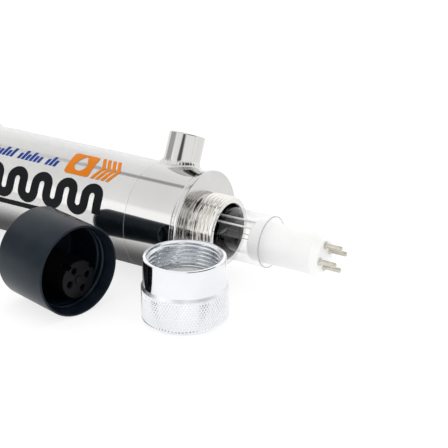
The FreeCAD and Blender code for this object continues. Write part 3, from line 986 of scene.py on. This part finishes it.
def make_seals():
    for node, body in (("gland_o_ring", "loose_nut"), ("rear_o_ring", "rear_ring")):
        place, section, outer = ring_box(node)
        outline = circle(section, (outer - section, 0), 28)
        piece = lathe(node + "_seal", outline, place, turns=160)
        finish_piece(piece, body, "silicone_seal", [node])
    for node, body in (("thrust_ring", "loose_nut"), ("rear_thrust_ring", "rear_nut")):
        place, height, outer = ring_box(node)
        outline = rounded([(nut_shoulder_r, -height, 0.2), (outer, -height, 0.2), (outer, height, 0.2),
                           (nut_shoulder_r, height, 0.2)], steps=3)
        piece = lathe(node + "_washer", outline, place, turns=160)
        finish_piece(piece, body, "nylon", [node])


# ---- rubber caps --------------------------------------------------------------------------
def cap_outline(bore_r, outer_r, hole_r, ribs):
    """Rubber cap behind its mouth at height 0."""
    floor = -cap_length + cap_rear_wall
    bevel = 2.5
    rib_r = bore_r - cap_rib_height
    mouth_r = bore_r + cap_mouth_r - cap_bore_r
    corners = [(mouth_r, 0, 0.2), (outer_r, 0, 0.4), (outer_r, -cap_length + bevel, 1.2),
               (outer_r - bevel, -cap_length, 1.2)]
    if hole_r:
        corners += [(hole_r, -cap_length, 0.3), (hole_r, floor, 0.3)]
    else:
        corners += [(0, -cap_length), (0, floor)]
    corners.append((bore_r, floor, 1.5))
    for depth in sorted(ribs, reverse=True):
        corners += [(bore_r, -depth - cap_rib_width / 2, 0.2), (rib_r, -depth, 0.35),
                    (bore_r, -depth + cap_rib_width / 2, 0.2)]
    corners.append((bore_r, -cap_lead_in, 0.8))
    return rounded(corners)


def make_loose_cap():
    place = on_loose_cap()
    shell = lathe("cap_shell", cap_outline(cap_bore_r, cap_r, cable_hole_r, cap_ribs), place, turns=224)
    finish_piece(shell, "loose_cap", "cap_rubber", ["lamp_cap"])

    back, floor = -cap_length, -cap_length + cap_rear_wall
    inner = cable_hole_r - 1.0
    bush = rounded([(inner, back - cap_bush_stand, 0.3), (bush_r, back - cap_bush_stand, 0.6), (bush_r, back),
                    (cable_hole_r, back), (cable_hole_r, floor), (bush_r, floor, 0),
                    (bush_r, floor + cap_bush_lip, 0.4), (inner, floor + cap_bush_lip, 0.3)])
    piece = lathe("cable_bush_ring", bush, place, turns=96)
    finish_piece(piece, "loose_cap", "bush_rubber", ["cable_bush"])

    x, y = polar(cap_bore_r - cap_rib_height - socket_r, socket_lean)
    on_socket = place @ Matrix.Translation(Vector((x, y, 0)) * MM)
    face = -socket_depth
    hub = 0.5
    body = rounded([(0, face - socket_length), (socket_r, face - socket_length, 0.8), (socket_r, face, 0.5),
                    (2.1, face, 0), (1.9, face + hub, 0.15), (0, face + hub)])
    socket = lathe("socket_body", body, on_socket, turns=128)
    cutters = []
    for centre in pin_grid(socket_turn):
        hole = [(0, face - 12), (contact_r, face - 12), (contact_r, face - 0.4),
                (contact_r + 0.5, face + 0.2), (contact_r + 0.5, face + 1), (0, face + 1)]
        cutters.append(link("drill", lathe_mesh(hole, turns=40, at=centre), on_socket))
    for turn in (socket_turn + 62, socket_turn + 180 - 28):
        slot = [(socket_r - 1.4, -1.3), (socket_r + 1.6, -1.3), (socket_r + 1.6, 1.3), (socket_r - 1.4, 1.3)]
        mesh = sheet_mesh("key", slot, [], 7.0, lambda s, t, n: (s, t, face - 6.0 + n), 2.0)
        cutters.append(link("key", mesh, on_socket @ Matrix.Rotation(math.radians(turn), 4, "Z")))
    carve(socket, cutters)
    finish_piece(socket, "loose_cap", "socket_plastic", ["lamp_socket"])

    sleeve = rounded([(contact_r - 0.32, face - 11.5, 0.05), (contact_r, face - 11.5),
                      (contact_r, face - 4.0, 0.1), (contact_r - 0.32, face - 4.0, 0.1)], steps=3)
    meshes = [lathe_mesh(sleeve, turns=40, at=centre) for centre in pin_grid(socket_turn)]
    contacts = merged("contact_set", meshes, on_socket)
    finish_piece(contacts, "loose_cap", "contact_brass", ["socket_contacts"])


def make_blank_cap():
    play = 0.05
    place = front(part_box("rear_blank_cap")[1].x)
    outline = cap_outline(knurl_r + play, blank_r, 0, ())
    piece = lathe("blank_cap_shell", outline, place, turns=224)
    finish_piece(piece, "rear_cap", "cap_rubber", ["rear_blank_cap"])


# ---- stage ----------------------------------------------------------------------------------
def make_floor():
    work = bmesh.new()
    bmesh.ops.create_circle(work, cap_ends=True, cap_tris=True, segments=96, radius=3.0)
    mesh = bpy.data.meshes.new("floor")
    work.to_mesh(mesh)
    work.free()
    floor = link("floor", mesh, Matrix.Translation((0.1, 0, cad_low.z - 0.0001)))
    mesh.materials.append(materials["floor"])


def make_shade_card():
    """Card on the floor under the chamber that only reflections show: a painted shadow, white outside and
    dark beneath.
    """
    near, far = -0.062, 0.004
    start, end = -0.09, front_face - 0.002
    work = bmesh.new()
    corners = [(start, near), (end, near), (end, far), (start, far)]
    work.faces.new([work.verts.new((x, y, 0)) for x, y in corners])
    mesh = bpy.data.meshes.new("shade_card")
    work.to_mesh(mesh)
    work.free()
    shade_card = link("shade_card", mesh, Matrix.Translation((0, 0, cad_low.z + 0.0002)))
    material = surface("shade_card", (0, 0, 0), (0, 0, 0), (1.0, 1.0), Specular_IOR_Level=0.0,
                       Emission_Color=(1, 1, 1, 1))
    nodes, links = material.node_tree.nodes, material.node_tree.links
    parts = nodes.new("ShaderNodeSeparateXYZ")
    links.new(nodes["Texture Coordinate"].outputs["Object"], parts.inputs["Vector"])
    # The glow fades from white at the card's outer edge to dark beneath the chamber: painted shadow.
    dark_from, bright, dark = -0.02, 1.05, 0.12
    glow = remap(nodes, links, parts.outputs["Y"], near, dark_from, bright, dark)
    links.new(glow, nodes["Principled BSDF"].inputs["Emission Strength"])
    mesh.materials.append(material)
    shade_card.visible_camera = False
    shade_card.visible_diffuse = False
    shade_card.visible_shadow = False


def aim(azimuth, elevation):
    """Direction from degrees round from +X and up from level."""
    flat, height = polar(1.0, elevation)
    return Vector((*polar(flat, azimuth), height))


def make_world():
    """Pale studio whose dark cards and gaps are seen only as reflections in the bright metal."""
    world = bpy.data.worlds.new("studio")
    bpy.context.scene.world = world
    world.use_nodes = True
    nodes, links = world.node_tree.nodes, world.node_tree.links
    background = nodes["Background"]
    cards = [(aim(-75, 22), 11, 19, 0.10), (aim(-76, 44), 7, 13, 0.40), (aim(2, 58), 20, 26, 0.12),
             (aim(28, 48), 14, 22, 0.12), (aim(-160, 12), 18, 30, 0.45), (aim(-127, 14), 8, 16, 1.25)]
    direction = nodes.new("ShaderNodeTexCoord").outputs["Generated"]
    parts = nodes.new("ShaderNodeSeparateXYZ")
    links.new(direction, parts.inputs["Vector"])

    def compute(operation, first, second):
        node = nodes.new("ShaderNodeMath")
        node.operation = operation
        for socket, value in zip(node.inputs, (first, second)):
            if isinstance(value, float):
                socket.default_value = value
            else:
                links.new(value, socket)
        return node.outputs["Value"]

    def card(middle_way, inner, outer, level):
        """Brightness factor of a round card, in degrees from its middle direction."""
        node = nodes.new("ShaderNodeVectorMath")
        node.operation = "DOT_PRODUCT"
        links.new(direction, node.inputs[0])
        node.inputs[1].default_value = middle_way
        start, end = math.cos(math.radians(outer)), math.cos(math.radians(inner))
        return remap(nodes, links, node.outputs["Value"], start, end, 1.0, level)

    sky = remap(nodes, links, parts.outputs["Z"], 0.35, 0.9, 1.16, 1.04)
    slope = compute("DIVIDE", parts.outputs["Y"], compute("MAXIMUM", parts.outputs["Z"], 0.01))
    low_side = remap(nodes, links, slope, 0.07, 0.12, 0.0, 1.0)
    high_side = remap(nodes, links, slope, 0.22, 0.27, 1.0, 0.0)
    depth = remap(nodes, links, parts.outputs["X"], -0.61, -0.55, 0.12, 0.55)
    gap = compute("SUBTRACT", 1.0, compute("MULTIPLY", compute("MULTIPLY", low_side, high_side), depth))
    studio = compute("MULTIPLY", sky, gap)
    for way, inner, outer, level in cards:
        studio = compute("MULTIPLY", studio, card(way, inner, outer, level))
    seen = nodes.new("ShaderNodeLightPath").outputs["Is Camera Ray"]
    level = compute("MAXIMUM", studio, seen)
    links.new(level, background.inputs["Strength"])
    background.inputs["Color"].default_value = (1, 1, 1, 1)


def area_light(name, location, target, size, power, colour=(1, 1, 1)):
    """Soft lamp that lights matt surfaces and leaves no reflection."""
    light = bpy.data.lights.new(name, "AREA")
    light.shape = "RECTANGLE"
    light.size, light.size_y = size
    light.energy = power
    light.color = colour
    lamp = bpy.data.objects.new(name, light)
    bpy.context.collection.objects.link(lamp)
    lamp.location = location
    lamp.rotation_euler = (Vector(target) - Vector(location)).to_track_quat("-Z", "Y").to_euler()
    lamp.visible_glossy = False


def make_lights():
    target = (0.12, -0.02, 0.02)
    area_light("overhead", (0.1, 0.1, 1.3), target, (1.6, 1.2), 4.0)
    area_light("right_card", (1.2, -0.2, 0.7), target, (0.6, 0.8), 2.0, (1.0, 0.98, 0.95))


def make_camera():
    """Stands off the service end, turned towards the chamber and pitched down."""
    camera = bpy.data.cameras.new("camera")
    camera.sensor_width = 36.0
    camera.lens = 116.34
    viewer = bpy.data.objects.new("camera", camera)
    bpy.context.collection.objects.link(viewer)
    viewer.location = (front_face + 0.33568, -0.52188, 0.28293)
    viewer.rotation_euler = (math.radians(67.625), 0, math.radians(31.98))
    bpy.context.scene.camera = viewer
    bpy.context.scene.view_settings.view_transform = "Standard"


make_chamber_tube()
make_ports()
make_port_welds()
make_ends()
make_straps()
make_label()
make_sleeve()
make_lamp()
make_nuts()
make_seals()
make_loose_cap()
make_blank_cap()
make_floor()
make_shade_card()
make_world()
make_lights()
make_camera()
